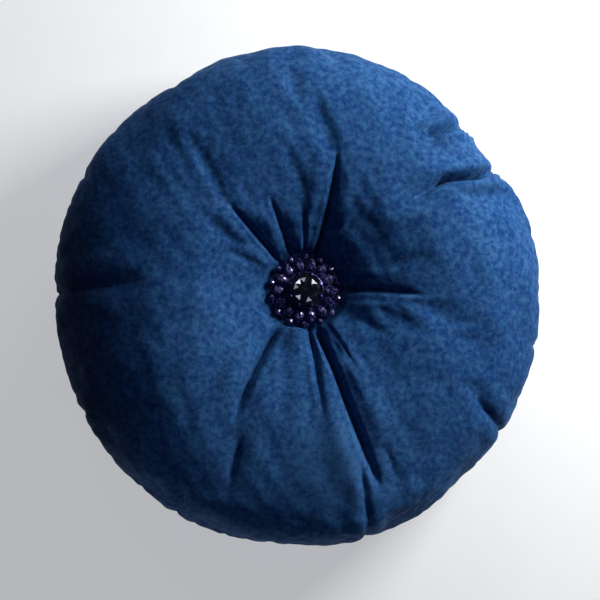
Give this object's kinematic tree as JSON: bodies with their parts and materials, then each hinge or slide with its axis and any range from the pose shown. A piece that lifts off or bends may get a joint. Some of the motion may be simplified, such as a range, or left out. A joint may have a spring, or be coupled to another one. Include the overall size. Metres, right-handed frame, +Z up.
{
  "type": "seat cushion",
  "caption": "Round velvet seat cushion, button-tufted through its middle, with a jewelled rosette on the front and a covered button on the back.",
  "frame": {"origin": "centre of the cushion's footprint, on the surface it lies on", "axes": "+Z up, out of the jewelled front; +X to the right and +Y to the top of the front as it is looked at"},
  "size_m": [0.4, 0.4, 0.12],
  "materials": {
    "velvet": "short-pile deep blue velvet, mottled where the pile is crushed",
    "calico": "plain unbleached calico",
    "fibre": "white hollow-fibre stuffing",
    "navy_thread": "polyester sewing thread",
    "white_thread": "cotton sewing thread",
    "twine": "waxed upholstery twine",
    "gunmetal": "dark gunmetal plating",
    "aluminium": "plain pressed aluminium",
    "felt": "thin dark wool felt",
    "indigo_jewel": "polished, facetted, dark indigo acrylic",
    "black_jewel": "polished, facetted, black acrylic"
  },
  "bodies": {
    "cushion": {"front_cover": "velvet", "back_cover": "velvet", "edge_seam_thread": "navy_thread", "closing_stitches": "navy_thread", "inner_case_front": "calico", "inner_case_back": "calico", "inner_case_seam_thread": "white_thread", "fibre_fill": "fibre", "tufting_twine": "twine", "twine_knot": "twine"},
    "jewel_button": {"front_twine_loop": "twine", "rosette_felt": "felt", "rosette_plate": "gunmetal", "rosette_eye": "gunmetal", "petal_gallery": "gunmetal", "stone_cup": "gunmetal", "centre_stone": "black_jewel", "bead_wire": "gunmetal", "petal_stone_01": "indigo_jewel", "petal_stone_02": "indigo_jewel", "petal_stone_03": "indigo_jewel", "petal_stone_04": "indigo_jewel", "petal_stone_05": "indigo_jewel", "petal_stone_06": "indigo_jewel", "petal_stone_07": "indigo_jewel", "petal_stone_08": "indigo_jewel", "petal_stone_09": "indigo_jewel", "petal_stone_10": "indigo_jewel", "petal_stone_11": "indigo_jewel", "petal_stone_12": "indigo_jewel", "petal_stone_13": "indigo_jewel", "petal_stone_14": "indigo_jewel", "rim_bead_01": "indigo_jewel", "rim_bead_02": "indigo_jewel", "rim_bead_03": "indigo_jewel", "rim_bead_04": "indigo_jewel", "rim_bead_05": "indigo_jewel", "rim_bead_06": "indigo_jewel", "rim_bead_07": "indigo_jewel", "rim_bead_08": "indigo_jewel", "rim_bead_09": "indigo_jewel", "rim_bead_10": "indigo_jewel", "rim_bead_11": "indigo_jewel", "rim_bead_12": "indigo_jewel", "rim_bead_13": "indigo_jewel", "rim_bead_14": "indigo_jewel"},
    "back_button": {"back_twine_loop": "twine", "back_button_velvet": "velvet", "back_button_shell": "aluminium", "back_button_plate": "aluminium", "back_button_eye": "aluminium"}
  },
  "joints": [
    {"name": "front_button_swivel", "type": "hinge", "parent": "cushion", "child": "jewel_button", "pos_m": [0, 0, 0.077], "axis": [0, 0, 1], "range_deg": [-90, 90]},
    {"name": "back_button_swivel", "type": "hinge", "parent": "cushion", "child": "back_button", "pos_m": [0, 0, 0.038], "axis": [0, 0, 1], "range_deg": [-90, 90]}
  ]
}
